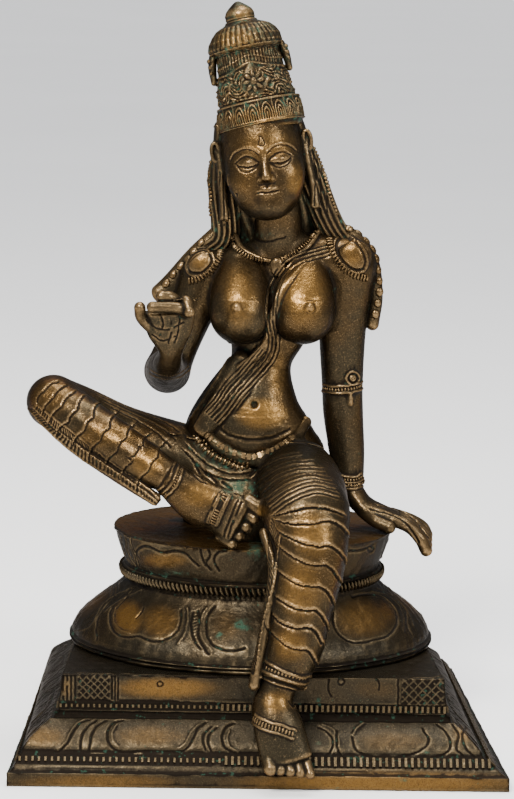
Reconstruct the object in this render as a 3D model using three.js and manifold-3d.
// A bronze goddess seated at ease on an oval double lotus over a stepped plinth, millimetres, +Z up.
// She faces -Y. The origin is the centre of the plinth's underside.
import * as THREE from "three";
import { mergeVertices } from "three/addons/utils/BufferGeometryUtils.js";
import Module from "manifold-3d";

const wasm = await Module();
wasm.setup();

// Plinth sizes
const PLINTH_WIDTH = 190;
const PLINTH_DEPTH = 153;
const BAND_HEIGHT = 5.7;
const BAND_OFFSET = 2.2;
const BAND_PINCH = 8.5;
const BEVEL_HEIGHT = 6;
const BEVEL_INSET = 7.5;
const MOULDING_HEIGHT = 10.2;
const MOULDING_INSET = 10.5;
const MOULDING_PINCH = 4.5;
const FILLET_HEIGHT = 2.2;
const SLAB_WIDTH = 146;
const SLAB_DEPTH = 116;
const SLAB_HEIGHT = 14.6;
const SLAB_PINCH = 7.5;

// Lotus seat sizes
const LOTUS_WIDTH = 145;
const LOTUS_DEPTH = 112.6;
const LIP_HEIGHT = 3;
const DOME_HEIGHT = 23.4;
const NECK_WIDTH = 104.4;
const NECK_DEPTH = 80.8;
const ROPE_RADIUS = 2.5;
const SEAT_WIDTH = 110.6;
const SEAT_DEPTH = 85;
const SEAT_WALL_HEIGHT = 15.3;
const PETALS = 12;
const SIDES_PER_PETAL = 4;
const PETAL_RELIEF = 1.1;
const DOME_SETBACK = 2;
const DOME_SHOULDER = 1.5;
const MOULDING_PETAL_WIDTH = 38;

// Rows of the petals: share of the height, and how far the petals swell there
const DOME_ROWS = [
  [0.06, 1],
  [0.34, 1],
  [0.66, 1],
  [1, 0],
];
const WALL_ROWS = [
  [0, 0],
  [0.2, 0.9],
  [0.78, 0.9],
  [1, 0],
];

// Heights that follow from the sizes above
const BEVEL_TOP = BAND_HEIGHT + BEVEL_HEIGHT;
const MOULDING_TOP = BEVEL_TOP + MOULDING_HEIGHT;
const SLAB_BOTTOM = MOULDING_TOP + FILLET_HEIGHT;
const SLAB_TOP = SLAB_BOTTOM + SLAB_HEIGHT;
const LIP_TOP = SLAB_TOP + LIP_HEIGHT;
const DOME_TOP = LIP_TOP + DOME_HEIGHT;
const ROPE_HEIGHT = DOME_TOP + ROPE_RADIUS;
const WALL_BOTTOM = ROPE_HEIGHT + ROPE_RADIUS * 0.6;
const SEAT_TOP = WALL_BOTTOM + SEAT_WALL_HEIGHT;

// The figure, from the seat to the tip of the crown, how far she sits turned towards her right,
// and the fit between the two castings
const FIGURE_HEIGHT = 204;
const SEATED_TURN = -0.026;
const CASTING_GAP = 0.3;
const CUT_OVERLAP = 0.6;
const CHAMFER = 0.7;
const BEVEL_LEDGE = 1.2;
const SLAB_BATTER = 1.4;

// The pose below is laid out in parts, of which the figure is 204 tall
const POSE = FIGURE_HEIGHT / 204;

const vec = (x, y, z) => new THREE.Vector3(x, y, z);
const lerp = THREE.MathUtils.lerp;
const radians = THREE.MathUtils.degToRad;
const TURN = Math.PI * 2;

/** A point of the figure: pose millimetres right, back and up from the middle of the seat. */
const body = (x, y, z) =>
  vec(x * POSE, y * POSE, 0)
    .applyAxisAngle(vec(0, 0, 1), SEATED_TURN)
    .add(vec(0, 0, SEAT_TOP + z * POSE));

/** A closed solid from points and triangles, turned inside out where its volume is negative. */
function solidOf(points, faces) {
  const volume = faces.reduce(
    (sum, [a, b, c]) => sum + points[a].dot(points[b].clone().cross(points[c])),
    0,
  );
  const outward = volume > 0 ? faces : faces.map(([a, b, c]) => [a, c, b]);
  return new wasm.Manifold(
    new wasm.Mesh({
      numProp: 3,
      vertProperties: new Float32Array(points.flatMap((p) => [p.x, p.y, p.z])),
      triVerts: new Uint32Array(outward.flat()),
    }),
  );
}

/** A closed solid from a three.js geometry whose seam vertices are merged. */
function solidOfGeometry(geometry, matrix) {
  const bare = geometry.clone();
  bare.deleteAttribute("normal");
  bare.deleteAttribute("uv");
  const merged = mergeVertices(bare, 1e-4);
  merged.applyMatrix4(matrix);
  const place = merged.getAttribute("position");
  const points = Array.from({ length: place.count }, (_, i) => new THREE.Vector3().fromBufferAttribute(place, i));
  const index = merged.getIndex().array;
  const faces = Array.from({ length: index.length / 3 }, (_, i) => [...index.slice(3 * i, 3 * i + 3)]);
  return solidOf(points, faces.filter(([a, b, c]) => a !== b && b !== c && c !== a));
}

/** Rings of equal length stacked into a closed solid, with a fan at each end. */
function ringStack(rings, firstPole, lastPole) {
  const sides = rings[0].length;
  const points = [...rings.flat(), firstPole, lastPole];
  const first = points.length - 2;
  const last = points.length - 1;
  const end = (rings.length - 1) * sides;
  const faces = [];
  for (let i = 0; i < sides; i += 1) {
    const next = (i + 1) % sides;
    faces.push([first, next, i], [last, end + i, end + next]);
    for (let row = 0; row < rings.length - 1; row += 1) {
      const low = row * sides;
      const high = low + sides;
      faces.push([low + i, low + next, high + next], [low + i, high + next, high + i]);
    }
  }
  return solidOf(points, faces);
}

const NO_RELIEF = () => 0;

/**
 * A limb: oval rings along a smooth path through its stops, with rounded ends.
 * Each stop is [point, half width, half depth]. side points along the width, and bends are
 * the angles of the rings that round off an end.
 */
function limb(
  stops,
  { sides = 12, steps = 8, side = vec(1, 0, 0), relief = NO_RELIEF, round = [1, 1], bends = [50] } = {},
) {
  const path = new THREE.CatmullRomCurve3(stops.map(([at]) => at), false, "catmullrom", 0.5);
  const girth = new THREE.CatmullRomCurve3(
    stops.map(([, wide, deep = wide]) => vec(wide, deep, 0)),
    false,
    "catmullrom",
    0.5,
  );
  const shares = Array.isArray(steps) ? steps : Array.from({ length: steps + 1 }, (_, i) => i / steps);
  const ringAt = (share, shrink, slide) => {
    const along = path.getTangent(share).normalize();
    const across = side.clone().addScaledVector(along, -side.dot(along)).normalize();
    const front = along.clone().cross(across);
    const size = girth.getPoint(share);
    const centre = path.getPoint(share).addScaledVector(along, slide * Math.min(size.x, size.y));
    return Array.from({ length: sides }, (_, i) => {
      const angle = (TURN * i) / sides;
      const lift = relief(share, angle);
      return centre
        .clone()
        .addScaledVector(across, Math.cos(angle) * (size.x + lift) * shrink)
        .addScaledVector(front, Math.sin(angle) * (size.y + lift) * shrink);
    });
  };
  const poleAt = (share, slide) => {
    const size = girth.getPoint(share);
    const along = path.getTangent(share).normalize();
    return path.getPoint(share).addScaledVector(along, slide * Math.min(size.x, size.y));
  };
  const rings = shares.map((share) => ringAt(share, 1, 0));
  for (const bend of bends.map(radians)) {
    if (round[0]) rings.unshift(ringAt(0, Math.cos(bend), -Math.sin(bend) * round[0]));
    if (round[1]) rings.push(ringAt(1, Math.cos(bend), Math.sin(bend) * round[1]));
  }
  return ringStack(rings, poleAt(0, -round[0]), poleAt(1, round[1]));
}

/** Rows and relief for a limb that carries raised bands, each given as [share, half share, height]. */
function cuffed(count, cuffs, sides = 8) {
  const clear = (share) => cuffs.every(([at, half]) => Math.abs(share - at) > half * 1.5);
  const even = Array.from({ length: count + 1 }, (_, i) => i / count).filter(clear);
  const edges = cuffs.flatMap(([at, half]) => [at - half, at, at + half]);
  const relief = (share) =>
    cuffs.reduce((lift, [at, half, height]) => lift + (Math.abs(share - at) < half * 0.5 ? height * POSE : 0), 0);
  return { sides, steps: [...even, ...edges].sort((a, b) => a - b), relief };
}

/** An even tube through points. */
const tube = (points, radius, sides = 6, steps = 8, round = [1, 1]) =>
  limb(points.map((at) => [at, radius]), { sides, steps, round, side: vec(0.3, -1, 0.2) });

/** An ellipsoid with its own radii, turned about Z and then about Y. */
function ellipsoid(centre, [x, y, z], { sides = 12, rows = 8, turn = 0, lean = 0 } = {}) {
  const matrix = new THREE.Matrix4().compose(
    centre,
    new THREE.Quaternion().setFromEuler(new THREE.Euler(0, lean, turn, "ZYX")),
    vec(x, y, z),
  );
  return solidOfGeometry(new THREE.SphereGeometry(1, sides, rows), matrix);
}

const joined = (solids) => solids.reduce((whole, piece) => whole.add(piece));

// Plinth and lotus seat

/** Points round a rectangle whose back corners are pinched in: so many to a long side, so many to a short one. */
function rectangle(halfWide, halfDeep, z, { pinch = 0, longSteps = 1, shortSteps = 1 } = {}) {
  const corners = [
    [-halfWide, -halfDeep],
    [halfWide, -halfDeep],
    [halfWide - pinch, halfDeep],
    [pinch - halfWide, halfDeep],
  ];
  return corners.flatMap(([x, y], i) => {
    const [nextX, nextY] = corners[(i + 1) % corners.length];
    const steps = i % 2 === 0 ? longSteps : shortSteps;
    return Array.from({ length: steps }, (_, k) => vec(lerp(x, nextX, k / steps), lerp(y, nextY, k / steps), z));
  });
}

/** Points round an oval, each pushed outwards by relief(share of the turn). */
function oval(halfWide, halfDeep, z, sides, relief = NO_RELIEF) {
  return Array.from({ length: sides }, (_, i) => {
    const angle = (TURN * i) / sides;
    const lift = relief(i / sides);
    return vec(Math.sin(angle) * (halfWide + lift), -Math.cos(angle) * (halfDeep + lift), z);
  });
}

/** A stack of rings from the lowest to the highest, closed flat at both ends. */
const tier = (rings) => ringStack(rings, vec(0, 0, rings[0][0].z), vec(0, 0, rings[rings.length - 1][0].z));

/** How far a petal stands out: 1 over its belly, 0 in the groove between two petals. */
function petal(share) {
  const phase = (share * PETALS) % 1;
  return phase < 0.1 || phase > 0.9 ? 0 : 1;
}

/** The lowest band, the bevel, the lotus moulding and the slab, all a little narrower at the back. */
function steppedPlinth(grow) {
  const plain = (inset, z, pinch, offset) =>
    rectangle(PLINTH_WIDTH / 2 - inset + grow, PLINTH_DEPTH / 2 - inset + grow, z, { pinch }).map((point) =>
      point.add(vec(offset, 0, 0)),
    );
  const foot = tier([
    plain(CHAMFER, -grow, BAND_PINCH, BAND_OFFSET),
    plain(0, CHAMFER, BAND_PINCH, BAND_OFFSET),
    plain(0, BAND_HEIGHT + grow, BAND_PINCH, BAND_OFFSET),
  ]);
  const bevel = tier([
    plain(BEVEL_LEDGE, BAND_HEIGHT - CUT_OVERLAP, BAND_PINCH, BAND_OFFSET),
    plain(BEVEL_INSET, BEVEL_TOP + grow, MOULDING_PINCH, 0),
  ]);
  const slab = tier(
    [SLAB_BOTTOM - CUT_OVERLAP, SLAB_TOP + grow].map((z, row) =>
      rectangle(SLAB_WIDTH / 2 + grow + SLAB_BATTER * (1 - row), SLAB_DEPTH / 2 + grow, z, { pinch: SLAB_PINCH }),
    ),
  );
  return joined([foot, bevel, slab, plinthMoulding(grow)]);
}

/** The lotus moulding below the slab: a rounded slope with a row of broad petals on every side. */
function plinthMoulding(grow) {
  const bottomWide = PLINTH_WIDTH / 2 - BEVEL_INSET + grow;
  const bottomDeep = PLINTH_DEPTH / 2 - BEVEL_INSET + grow;
  const longPetals = Math.round((2 * bottomWide) / MOULDING_PETAL_WIDTH);
  const shortPetals = Math.round((2 * bottomDeep) / MOULDING_PETAL_WIDTH);
  const perPetal = 3;
  const rows = 3;
  const rings = Array.from({ length: rows + 1 }, (_, row) => {
    const rise = row / rows;
    const inset = MOULDING_INSET * (1 - Math.cos((rise * Math.PI) / 2)) ** 0.9;
    const ring = rectangle(
      bottomWide - inset,
      bottomDeep - inset,
      BEVEL_TOP - CUT_OVERLAP * (row === 0) + MOULDING_HEIGHT * rise,
      { pinch: MOULDING_PINCH, longSteps: longPetals * perPetal, shortSteps: shortPetals * perPetal },
    );
    const bulge = row > 0 && row < rows ? PETAL_RELIEF : 0;
    return ring.map((point, i) => {
      const onPetal = i % perPetal !== 0 ? bulge : 0;
      const outward = Math.abs(point.x) / bottomWide > Math.abs(point.y) / bottomDeep ? "x" : "y";
      point[outward] += Math.sign(point[outward]) * onPetal;
      return point;
    });
  });
  const topWide = bottomWide - MOULDING_INSET;
  const topDeep = bottomDeep - MOULDING_INSET;
  const fillet = tier([
    rectangle(topWide + PETAL_RELIEF, topDeep, MOULDING_TOP - CUT_OVERLAP, { pinch: MOULDING_PINCH }),
    rectangle(topWide - PETAL_RELIEF, topDeep - PETAL_RELIEF, SLAB_BOTTOM + grow, { pinch: SLAB_PINCH }),
  ]);
  return joined([tier(rings), fillet]);
}

/**
 * The lotus seat as one turned and petalled stack: a lip, the broad lower row of petals,
 * a rope, the flaring upper row and the flat top.
 */
function lotusSeat(grow) {
  const sides = PETALS * SIDES_PER_PETAL;
  const ring = (wide, deep, z, bulge = 0) =>
    oval(wide / 2 + grow, deep / 2 + grow, z, sides, (share) => bulge * petal(share));
  const dome = DOME_ROWS.map(([rise, bulge]) => {
    const reach = Math.cos((rise * Math.PI) / 2) ** DOME_SHOULDER;
    const wide = lerp(NECK_WIDTH - ROPE_RADIUS * 2, LOTUS_WIDTH - DOME_SETBACK, reach);
    const deep = lerp(NECK_DEPTH - ROPE_RADIUS * 2, LOTUS_DEPTH - DOME_SETBACK, reach);
    return ring(wide, deep, LIP_TOP + DOME_HEIGHT * rise, bulge * PETAL_RELIEF);
  });
  const rope = [-0.7, 0.7].map((part) => ring(NECK_WIDTH, NECK_DEPTH, ROPE_HEIGHT + part * ROPE_RADIUS));
  const wall = WALL_ROWS.map(([rise, bulge]) => {
    const wide = lerp(NECK_WIDTH - ROPE_RADIUS * 2, SEAT_WIDTH, rise ** 0.7);
    const deep = lerp(NECK_DEPTH - ROPE_RADIUS * 2, SEAT_DEPTH, rise ** 0.7);
    const top = rise === 1 ? grow : 0;
    return ring(wide, deep, WALL_BOTTOM + top + SEAT_WALL_HEIGHT * rise, bulge * PETAL_RELIEF);
  });
  const lip = [SLAB_TOP - CUT_OVERLAP, LIP_TOP].map((z) => ring(LOTUS_WIDTH, LOTUS_DEPTH, z));
  return tier([...lip, ...dome, ...rope, ...wall]);
}

const pedestalSolid = (grow) => steppedPlinth(grow).add(lotusSeat(grow));

// Torso

function torso() {
  const trunk = limb(
    [
      [body(0, 10, -6), 27 * POSE, 19 * POSE],
      [body(0, 9, 9), 29 * POSE, 20.5 * POSE],
      [body(0, 8, 22), 28.5 * POSE, 19 * POSE],
      [body(-0.5, 5, 33), 27 * POSE, 17.5 * POSE],
      [body(0, 3.6, 43), 21.6 * POSE, 15.6 * POSE],
      [body(0.6, 4, 52), 16 * POSE, 13 * POSE],
      [body(2, 6, 64.6), 12 * POSE, 9.6 * POSE],
      [body(4, 5.4, 76), 15.4 * POSE, 11 * POSE],
      [body(6, 5, 88), 18.5 * POSE, 12.2 * POSE],
      [body(7.5, 5.4, 98), 19 * POSE, 11.2 * POSE],
      [body(8, 6, 106), 14 * POSE, 9.4 * POSE],
      [body(8, 5, 113), 9.8 * POSE, 9 * POSE],
      [body(7.2, 3, 124), 9.2 * POSE, 9 * POSE],
      [body(6, 1, 132), 9 * POSE, 9 * POSE],
    ],
    { sides: 12, steps: 10, round: [0, 0] },
  );
  const yoke = limb(
    [
      [body(-19, 6, 99), 9.2 * POSE],
      [body(-6, 6, 102), 9 * POSE],
      [body(8, 5.6, 105.5), 9 * POSE],
      [body(22, 6, 106.5), 9.4 * POSE],
      [body(35.5, 7, 104), 10.4 * POSE],
    ],
    { sides: 8, steps: 3, side: vec(0, 1, 0), round: [0, 0] },
  );
  const breast = (x, z, out) => [
    limb(
      [
        [body(x, 1, z + 17), 9 * POSE, 7 * POSE],
        [body(x + out * 0.2, -3.4, z + 9), 11.2 * POSE, 9.4 * POSE],
        [body(x + out * 0.3, -7.4, z - 1), 12.2 * POSE, 12 * POSE],
      ],
      { sides: 10, steps: 2, round: [0, 1.12], bends: [30, 60] },
    ),
    ellipsoid(body(x + out, -19.2, z), [1.9 * POSE, 1.6 * POSE, 1.9 * POSE], { sides: 5, rows: 3 }),
  ];
  const navel = ellipsoid(body(-0.3, -10.6, 50.6), [1.7 * POSE, 2.2 * POSE, 1.5 * POSE], { sides: 5, rows: 3 });
  return joined([trunk, yoke, ...breast(-5.6, 87.4, -2.2), ...breast(17, 88, 3.4)]).subtract(navel);
}

// Head and crown

const HEAD_CENTRE = body(2, -1, 140.6);
const HEAD_BACK_LEAN = radians(5);
const HEAD_SIDE_LEAN = radians(9);
const CROWN_BACK_LEAN = radians(5);
const CROWN_SIDE_LEAN = radians(3.6);
const headTurn = new THREE.Matrix4().makeRotationFromEuler(new THREE.Euler(-HEAD_BACK_LEAN, -HEAD_SIDE_LEAN, 0, "YXZ"));
const headPlace = new THREE.Matrix4().setPosition(HEAD_CENTRE).multiply(headTurn);
const crownPlace = headPlace
  .clone()
  .multiply(new THREE.Matrix4().makeTranslation(1.4 * POSE, 2 * POSE, 18 * POSE))
  .multiply(new THREE.Matrix4().makeRotationY(-CROWN_SIDE_LEAN))
  .multiply(new THREE.Matrix4().makeRotationX(-CROWN_BACK_LEAN));

/** A point of the head: pose millimetres right, back and up from its middle, before it leans. */
const head = (x, y, z) => vec(x * POSE, y * POSE, z * POSE).applyMatrix4(headPlace);

/** A point of the crown: pose millimetres right, back and up from the middle of its rim. */
const crown = (x, y, z) => vec(x * POSE, y * POSE, z * POSE).applyMatrix4(crownPlace);

/** A lean ellipsoid on the face. */
const onFace = (x, y, z, radii, options) =>
  ellipsoid(head(x, y, z), radii.map((r) => r * POSE), { sides: 6, rows: 4, lean: -HEAD_SIDE_LEAN, ...options });

function face() {
  const skull = limb(
    [
      [head(0, -7.8, -15.8), 5 * POSE, 4.6 * POSE],
      [head(0, -4.8, -13.4), 8.4 * POSE, 8 * POSE],
      [head(0, -2.4, -8.6), 12.3 * POSE, 11.6 * POSE],
      [head(0, -0.6, -2), 15 * POSE, 14 * POSE],
      [head(0, 0.4, 5), 15.9 * POSE, 15.4 * POSE],
      [head(0, 1, 12), 15.8 * POSE, 15.6 * POSE],
      [head(0, 1.8, 20), 14.6 * POSE, 14.4 * POSE],
    ],
    { sides: 10, steps: 5, round: [0.5, 0] },
  );
  const nose = limb(
    [
      [head(0, -14.4, 8.2), 1.3 * POSE, 1 * POSE],
      [head(0, -16.2, 2.2), 1.5 * POSE, 1.3 * POSE],
      [head(0, -17.6, -2.2), 2.4 * POSE, 2 * POSE],
    ],
    { sides: 6, steps: 2, round: [0, 0.6] },
  );
  const feature = (x) => [
    onFace(x * 6.4, -13.2, 4.6, [4, 2.2, 1.9], { turn: x * 0.32 }),
  ];
  const mouth = [
    onFace(0, -13.8, -7.2, [3.8, 1.9, 1.7]),
  ];
  return joined([skull, nose, ...feature(-1), ...feature(1), ...mouth]);
}

const ARCH_RELIEF = 0.5;
const FLUTE_RELIEF = 0.45;

/** The tall crown: an arched band, a tapering tier, a ribbed collar, a fluted dome and a bud. */
function tallCrown() {
  const stack = (rows, options) =>
    limb(
      rows.map(([z, size]) => [crown(0, 0, z), size * POSE, size * 0.95 * POSE]),
      { sides: 16, round: [0, 0], steps: rows.map((_, i) => i / (rows.length - 1)), ...options },
    );
  const ribs = 12;
  const shaft = stack([
    [-3, 16],
    [0, 17],
    [4, 17.1],
    [8.6, 16.3],
    [9.2, 15],
    [15, 14.4],
    [21, 13.4],
    [22, 12],
    [30, 12],
  ], {
    relief: (share, angle) => (share > 0.1 && share < 0.4 ? ARCH_RELIEF * Math.cos(angle * 8) * POSE : 0),
  });
  const dome = stack(
    [
      [28.8, 12.8],
      [31, 14.7],
      [35, 13.9],
      [38.4, 10.8],
      [40.4, 7],
    ],
    { sides: ribs * 2, relief: (share, angle) => (share < 0.95 ? FLUTE_RELIEF * Math.cos(angle * ribs) * POSE : 0) },
  );
  const bud = stack(
    [
      [40, 6.6],
      [41.4, 5.7],
      [43.6, 5.8],
      [46.4, 3.9],
      [48.8, 0.6],
    ],
    { sides: 8 },
  );
  const medallion = ellipsoid(crown(0, -13.8, 16), [4.2 * POSE, 1.9 * POSE, 4.4 * POSE], { sides: 6, rows: 4 });
  const flap = (x) =>
    limb(
      [
        [crown(x * 12.4, 1, 30), 2 * POSE, 4 * POSE],
        [crown(x * 13.3, 0.6, 20.4), 1.7 * POSE, 2.8 * POSE],
      ],
      { sides: 5, steps: 1, round: [0, 1] },
    );
  return joined([shaft, dome, bud, medallion, flap(-1), flap(1)]);
}

/** One side's long ear lobe with the knot above it, and the locks that fall behind it to the shoulder. */
function earAndLocks(x) {
  const ear = limb(
    [
      [head(x * 17.8, 2, 12.4), 2.8 * POSE, 3 * POSE],
      [head(x * 16.8, 1, 5), 1.8 * POSE, 3 * POSE],
      [head(x * 17.6, 0.2, -8), 1.6 * POSE, 2.2 * POSE],
      [head(x * 17.6, 0, -15), 2.2 * POSE, 2.6 * POSE],
    ],
    { sides: 5, steps: 3 },
  );
  const shoulder = x < 0 ? [body(-13, 8, 115), body(-19, 9, 108)] : [body(27, 8, 121), body(32, 9, 113)];
  const locks = limb(
    [
      [head(x * 14, 8, 12), 4.4 * POSE, 5 * POSE],
      [head(x * 17, 8, -2), 5.4 * POSE, 5 * POSE],
      [shoulder[0], 5.6 * POSE, 4.4 * POSE],
      [shoulder[1], 5.6 * POSE, 3.6 * POSE],
    ],
    { sides: 6, steps: 4, round: [0, 1] },
  );
  return joined([ear, locks]);
}

/** The back of the hair: a soft fall from the crown to between the shoulders. */
const hairFall = () =>
  limb(
    [
      [head(0, 9, 14), 14 * POSE, 9 * POSE],
      [head(0, 9, 0), 14.4 * POSE, 8 * POSE],
      [body(6.4, 11, 122), 17.6 * POSE, 6 * POSE],
      [body(7.6, 13, 108), 16 * POSE, 4.6 * POSE],
      [body(8, 16, 97), 8 * POSE, 2.6 * POSE],
    ],
    { sides: 8, steps: 4, round: [0, 1] },
  );

// Arms

/** Fingers, each a tube through its own points. */
const fingers = (routes, radius) => routes.map((route) => tube(route, radius, 5, 2, [0, 1]));

/** Her right arm, bent at the elbow, with the hand held up in front as if round a flower's stem. */
function raisedArm() {
  const upper = limb(
    [
      [body(-20, 6, 98), 10.4 * POSE, 10 * POSE],
      [body(-25.6, 5, 84), 8.6 * POSE, 8.2 * POSE],
      [body(-31, 4, 71), 8.2 * POSE, 8.2 * POSE],
      [body(-34.8, 2, 61.4), 8.8 * POSE, 8.4 * POSE],
    ],
    { sides: 8, steps: 3 },
  );
  const fore = limb(
    [
      [body(-34.8, 0.6, 61), 8.8 * POSE, 8.4 * POSE],
      [body(-34.8, -12, 65), 7.2 * POSE, 7 * POSE],
      [body(-33.6, -25, 69), 5.4 * POSE, 5.2 * POSE],
      [body(-32.6, -32, 75), 4.8 * POSE, 4.4 * POSE],
      [body(-33, -34.6, 82), 8.4 * POSE, 4.2 * POSE],
      [body(-33.4, -36, 90), 10.2 * POSE, 4 * POSE],
    ],
    { ...cuffed(7, [[0.55, 0.045, 0.9]], 10), round: [0, 0.4] },
  );
  const curled = [
    [body(-25.6, -37, 90), body(-29, -41.6, 92.6), body(-42, -42.4, 93.4)],
    [body(-28, -36, 92), body(-32, -39.4, 97), body(-39, -40, 97.4)],
    [body(-27, -35, 90), body(-26.4, -38.6, 96.4), body(-22.8, -42, 91.6)],
  ];
  const thumb = tube([body(-38, -35, 82), body(-43.4, -38, 88), body(-44.4, -41, 94)], 2.3 * POSE, 5, 2, [0, 1]);
  return joined([upper, fore, thumb, ...fingers(curled, 2.3 * POSE)]);
}

/** Her left arm, straight down beside her, with the hand resting on the rim of the seat. */
function restingArm() {
  const rim = SEAT_WIDTH / 2;
  const shoulder = body(36, 7, 103);
  const wrist = vec(rim - 17 * POSE, 5 * POSE, SEAT_TOP + 16.4 * POSE);
  const between = (share, out, back) =>
    shoulder.clone().lerp(wrist, share).add(vec(out * POSE, back * POSE, 0));
  const arm = limb(
    [
      [shoulder, 10.4 * POSE, 10 * POSE],
      [between(0.24, -2.6, 0.3), 9.5 * POSE, 9 * POSE],
      [between(0.52, -2.8, 1.4), 8.2 * POSE, 8.2 * POSE],
      [between(0.68, -2.4, 1.8), 7.9 * POSE, 7.9 * POSE],
      [between(0.85, -1, 1), 7 * POSE, 7 * POSE],
      [wrist, 5.6 * POSE, 5.6 * POSE],
    ],
    {
      ...cuffed(6, [
        [0.43, 0.016, 1.1],
        [0.92, 0.03, 1.2],
      ]),
      round: [1, 0],
    },
  );
  const hand = (out, back, up) => vec(rim + out * POSE, back * POSE, SEAT_TOP + up * POSE);
  const palm = limb(
    [
      [hand(-17, 4, 15), 5.4 * POSE, 4.6 * POSE],
      [hand(-11.4, 1, 8.4), 7.6 * POSE, 4.2 * POSE],
      [hand(-4, -1.6, 5.8), 8.4 * POSE, 3.2 * POSE],
      [hand(1.4, -2, 4.6), 8.2 * POSE, 2.6 * POSE],
    ],
    { sides: 10, steps: 3, side: vec(0, 1, 0), round: [0.5, 0.4] },
  );
  const spread = [-6.4, -2.2, 2.1, 6];
  const hanging = spread.map((y, i) => [
    hand(0, y - 2, 4.8),
    hand(8 + i * 0.3, y * 1.1 - 2.4, 3),
    hand(13.4 + i * 0.3, y * 1.15 - 2.8, -2.4),
    hand(15 + i * 0.2, y * 1.15 - 3, -8),
  ]);
  const thumb = tube([hand(-12, -4, 7), hand(-7.4, -10, 4.6), hand(-2, -13, 2.8)], 2.5 * POSE, 5, 2, [0, 1]);
  return joined([arm, palm, thumb, ...fingers(hanging, 2.2 * POSE)]);
}

// Legs

/** Rows for wrapped cloth: each fold swells towards its lower edge and steps in below it. */
function foldRows(from, to, count) {
  const rows = [];
  for (let i = 1; i <= count; i += 1) {
    const edge = lerp(from, to, i / count);
    rows.push(edge - 0.004, edge + 0.004);
  }
  return [0, ...rows.filter((share) => share < 1), 1];
}

/** The swell of the fold at this share of the limb. */
function foldRelief(from, to, count, height) {
  return (share) => {
    if (share <= from || share >= to + 0.002) return 0;
    const phase = (((share - from) / (to - from)) * count) % 1;
    return phase * height;
  };
}

/** Her right leg, folded flat across the seat, with the foot in front of her. */
function foldedLeg() {
  const thigh = limb(
    [
      [body(-13, 5, 18), 17 * POSE, 18 * POSE],
      [body(-32, 1, 27), 14 * POSE, 15 * POSE],
      [body(-52, -5, 37), 11 * POSE, 12.4 * POSE],
      [body(-68, -10, 46), 10.2 * POSE, 11 * POSE],
      [body(-78.4, -13.6, 51), 10 * POSE, 10 * POSE],
    ],
    { sides: 10, steps: 3, side: vec(0.4, 0, 1), round: [0, 1] },
  );
  const folds = 7;
  const shin = limb(
    [
      [body(-78.6, -16, 51), 10 * POSE, 10 * POSE],
      [body(-62, -25, 42.2), 9.2 * POSE, 9.2 * POSE],
      [body(-47, -31, 34), 8 * POSE, 8.2 * POSE],
      [body(-33, -36.4, 26.8), 6.2 * POSE, 6.4 * POSE],
    ],
    {
      sides: 8,
      side: vec(0.5, 0, 1),
      steps: foldRows(0.06, 0.96, folds),
      relief: foldRelief(0.06, 0.96, folds, 0.7 * POSE),
      round: [1, 0.3],
    },
  );
  const acrossToes = vec(0.59, -0.1, 0.8);
  const foot = limb(
    [
      [body(-32, -36.6, 25.8), 6.8 * POSE, 6.4 * POSE],
      [body(-20.8, -38.4, 17.6), 9 * POSE, 6.4 * POSE],
      [body(-13.4, -40, 15.2), 8.8 * POSE, 5.6 * POSE],
      [body(-5.6, -41.6, 11), 10 * POSE, 4.4 * POSE],
    ],
    { ...cuffed(5, [[0.667, 0.05, 1]]), side: acrossToes, round: [0, 0.6] },
  );
  const toes = Array.from({ length: 5 }, (_, i) => {
    const radius = (i === 0 ? 2.9 : 2.5 - i * 0.1) * POSE;
    const root = body(-1.8 - i * 2.6, -41.8 + i * 0.4, 19 - i * 3.6);
    const tip = body(3.2 - i * 2.7, -44.4 + i * 0.5, 16.2 - i * 3.5);
    return tube([root, tip], radius, 4, 1, [0, 1]);
  });
  const sash = limb(
    [
      [body(-85, -20, 47.4), 2 * POSE, 1.8 * POSE],
      [body(-70, -28, 37.2), 3 * POSE, 2.4 * POSE],
      [body(-53, -35, 27.4), 3 * POSE, 2.4 * POSE],
      [body(-37.4, -40, 18.6), 2.6 * POSE, 2 * POSE],
    ],
    { sides: 5, steps: 4, side: vec(0.5, 0, 1) },
  );
  return joined([thigh, shin, foot, sash, ...toes]);
}

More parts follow.
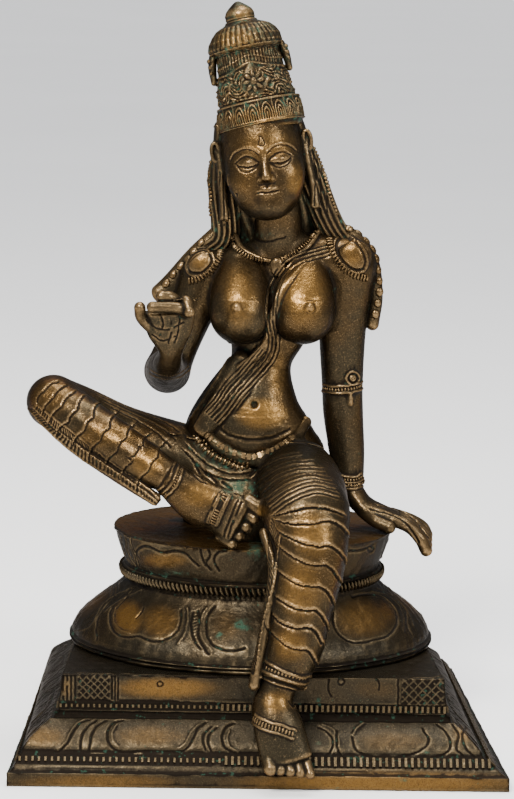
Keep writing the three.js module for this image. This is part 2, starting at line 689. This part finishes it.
/** Her left leg, over the front of the seat, with the foot on the plinth's lowest step. */
function hangingLeg() {
  const knee = vec(19 * POSE, -SEAT_DEPTH / 2 - 7.4 * POSE, SEAT_TOP + 16 * POSE);
  const ankle = vec(7.8 * POSE, 8.4 * POSE - PLINTH_DEPTH / 2, BAND_HEIGHT + 29.6);
  const shinPoint = (share, out, back) => knee.clone().lerp(ankle, share).add(vec(out * POSE, back * POSE, 0));
  const thigh = limb(
    [
      [body(15.6, 6, 18), 16.8 * POSE, 17 * POSE],
      [body(17.6, -16, 20.4), 16.6 * POSE, 16.4 * POSE],
      [body(19.6, -34, 19.4), 16.4 * POSE, 16 * POSE],
      [knee, 16 * POSE, 15 * POSE],
    ],
    { sides: 10, steps: 3, round: [0, 1] },
  );
  const folds = 8;
  const shin = limb(
    [
      [knee, 15.8 * POSE, 14 * POSE],
      [shinPoint(0.13, 3, -2.4), 14.1 * POSE, 13 * POSE],
      [shinPoint(0.317, 4.3, -1.5), 12.8 * POSE, 12.2 * POSE],
      [shinPoint(0.529, 3.6, -0.3), 12 * POSE, 11.4 * POSE],
      [shinPoint(0.716, 3.8, 0.4), 11.2 * POSE, 10.8 * POSE],
      [shinPoint(0.93, 1.8, 0), 9.2 * POSE, 9 * POSE],
    ],
    {
      sides: 10,
      steps: foldRows(0.1, 0.97, folds),
      relief: foldRelief(0.1, 0.97, folds, 0.8 * POSE),
      round: [0, 0.15],
    },
  );
  const stand = (x, y, z) => vec((x - 2) * POSE, -PLINTH_DEPTH / 2 + y * POSE, BAND_HEIGHT + z);
  const foot = limb(
    [
      [shinPoint(0.88, 2.2, 0), 7.4 * POSE, 7 * POSE],
      [shinPoint(1, 0.4, 0), 7 * POSE, 6.6 * POSE],
      [stand(9.4, 6.4, 24.4), 8.2 * POSE, 6.8 * POSE],
      [stand(11.4, 2, 17.6), 9.4 * POSE, 6 * POSE],
      [stand(14.6, -2.6, 7), 9.6 * POSE, 3.8 * POSE],
    ],
    { ...cuffed(6, [[0.46, 0.045, 0.9]]), round: [0, 0.4] },
  );
  const toes = Array.from({ length: 5 }, (_, i) => {
    const radius = (i === 0 ? 2.8 : 2.3 - i * 0.12) * POSE;
    const root = stand(7.6 + i * 3.6, -2.8, 7.6 - i * 0.5);
    const tip = stand(8.4 + i * 3.7, -5.4, 4.4 - i * 0.5);
    return tube([root, tip], radius, 4, 1, [0, 1]);
  });
  const sash = limb(
    [
      [shinPoint(0.1, -15, -2), 1.8 * POSE, 3 * POSE],
      [shinPoint(0.3, -9, -5), 2 * POSE, 3.4 * POSE],
      [shinPoint(0.6, -8.4, -5), 2 * POSE, 3.4 * POSE],
      [shinPoint(0.94, -8.6, -4), 2.2 * POSE, 3 * POSE],
    ],
    { sides: 5, steps: 4 },
  );
  return joined([thigh, shin, foot, sash, ...toes]);
}

// Dress and ornaments

/** Necklace and pendant, upper cloth, hip garland and the cloth between the thighs. */
function dress() {
  const necklace = tube(
    [body(-8, 4, 113), body(-4, -6, 106.6), body(5.6, -10.4, 101.8), body(16, -8, 106.4), body(21.6, 2, 114.4)],
    1.5 * POSE,
    4,
    5,
  );
  const pendant = ellipsoid(body(6.6, -11.6, 99), [3 * POSE, 1.8 * POSE, 3.6 * POSE], { sides: 6, rows: 4 });
  const upperCloth = limb(
    [
      [body(17, -5.6, 106), 2.6 * POSE, 1.3 * POSE],
      [body(10.6, -12.4, 98), 2 * POSE, 1.2 * POSE],
      [body(6.4, -13.6, 86), 1.7 * POSE, 2 * POSE],
      [body(4.4, -8.4, 73.6), 3 * POSE, 1.6 * POSE],
      [body(-3.6, -5.4, 61.6), 5.4 * POSE, 1.6 * POSE],
      [body(-12, -8, 50.6), 5.6 * POSE, 1.8 * POSE],
      [body(-20.6, -8.6, 39), 4 * POSE, 1.8 * POSE],
    ],
    { sides: 5, steps: 6, side: vec(1, 0, 0.6) },
  );
  const sideCloth = limb(
    [
      [body(-5, -1, 66), 5 * POSE, 5 * POSE],
      [body(-12.6, -1, 54), 6.4 * POSE, 7 * POSE],
      [body(-19.4, 0, 42), 6.8 * POSE, 9 * POSE],
      [body(-23, 2, 32), 6 * POSE, 9 * POSE],
    ],
    { sides: 6, steps: 3 },
  );
  const garland = tube(
    [body(-21, 0, 42), body(-15, -10.6, 35), body(0, -14.4, 29), body(13.6, -10.6, 35), body(20, 0, 42)],
    2.4 * POSE,
    5,
    5,
  );
  const lapCloth = limb(
    [
      [body(-3, -3, 30), 16 * POSE, 7 * POSE],
      [body(-4, -9, 20), 15 * POSE, 8 * POSE],
      [body(-3, -16, 8), 12 * POSE, 8 * POSE],
      [body(-2, -22, 0), 9 * POSE, 6 * POSE],
    ],
    { sides: 7, steps: 3, round: [0, 1] },
  );
  return joined([necklace, pendant, upperCloth, sideCloth, garland, lapCloth]);
}

/** Shoulder plates, and the ribbon that falls outside each arm. */
function shoulderOrnaments() {
  const plate = (x, z, tilt) =>
    ellipsoid(body(x, -1.6, z), [7 * POSE, 3 * POSE, 6.4 * POSE], { sides: 8, rows: 4, lean: tilt });
  const ribbon = (points) => limb(points.map(([at, wide]) => [at, wide * POSE, 3 * POSE]), { sides: 5, steps: 5, round: [0, 1] });
  const rightRibbon = ribbon([
    [body(-15, 9, 115), 4],
    [body(-23.4, 8, 105.6), 5],
    [body(-32, 7, 95.6), 5],
    [body(-38.2, 6, 90.8), 4],
  ]);
  const leftRibbon = ribbon([
    [body(26, 10, 120), 2.6],
    [body(37, 9, 115), 2.6],
    [body(44.6, 8, 106), 2.6],
    [body(46.8, 8, 92), 2.6],
    [body(45.6, 8, 80.4), 2.6],
  ]);
  return joined([plate(-20, 102.6, 0.6), plate(37.4, 108, -0.5), rightRibbon, leftRibbon]);
}

const goddess = joined([
  torso(),
  face(),
  tallCrown(),
  earAndLocks(-1),
  earAndLocks(1),
  hairFall(),
  raisedArm(),
  restingArm(),
  foldedLeg(),
  hangingLeg(),
  dress(),
  shoulderOrnaments(),
]).subtract(pedestalSolid(CASTING_GAP));

/** The largest connected body of a solid, as crumbs left by a cut are dropped. */
const largest = (solid) => solid.decompose().reduce((a, b) => (a.volume() > b.volume() ? a : b));

/** A named mesh of a finished solid. */
function meshOf(solid, name, material) {
  const { vertProperties, triVerts } = solid.getMesh();
  const geometry = new THREE.BufferGeometry();
  geometry.setAttribute("position", new THREE.BufferAttribute(new Float32Array(vertProperties), 3));
  geometry.setIndex(new THREE.BufferAttribute(new Uint32Array(triVerts), 1));
  geometry.computeVertexNormals();
  const mesh = new THREE.Mesh(geometry, material);
  mesh.name = name;
  return mesh;
}

const figureBronze = new THREE.MeshStandardMaterial({ color: 0x7a5930, roughness: 0.42, metalness: 0.9 });
const pedestalBronze = new THREE.MeshStandardMaterial({ color: 0x6c5230, roughness: 0.48, metalness: 0.88 });

const statue = new THREE.Group();
statue.add(meshOf(largest(pedestalSolid(0)), "pedestal", pedestalBronze));
statue.add(meshOf(largest(goddess), "figure", figureBronze));

export default statue;
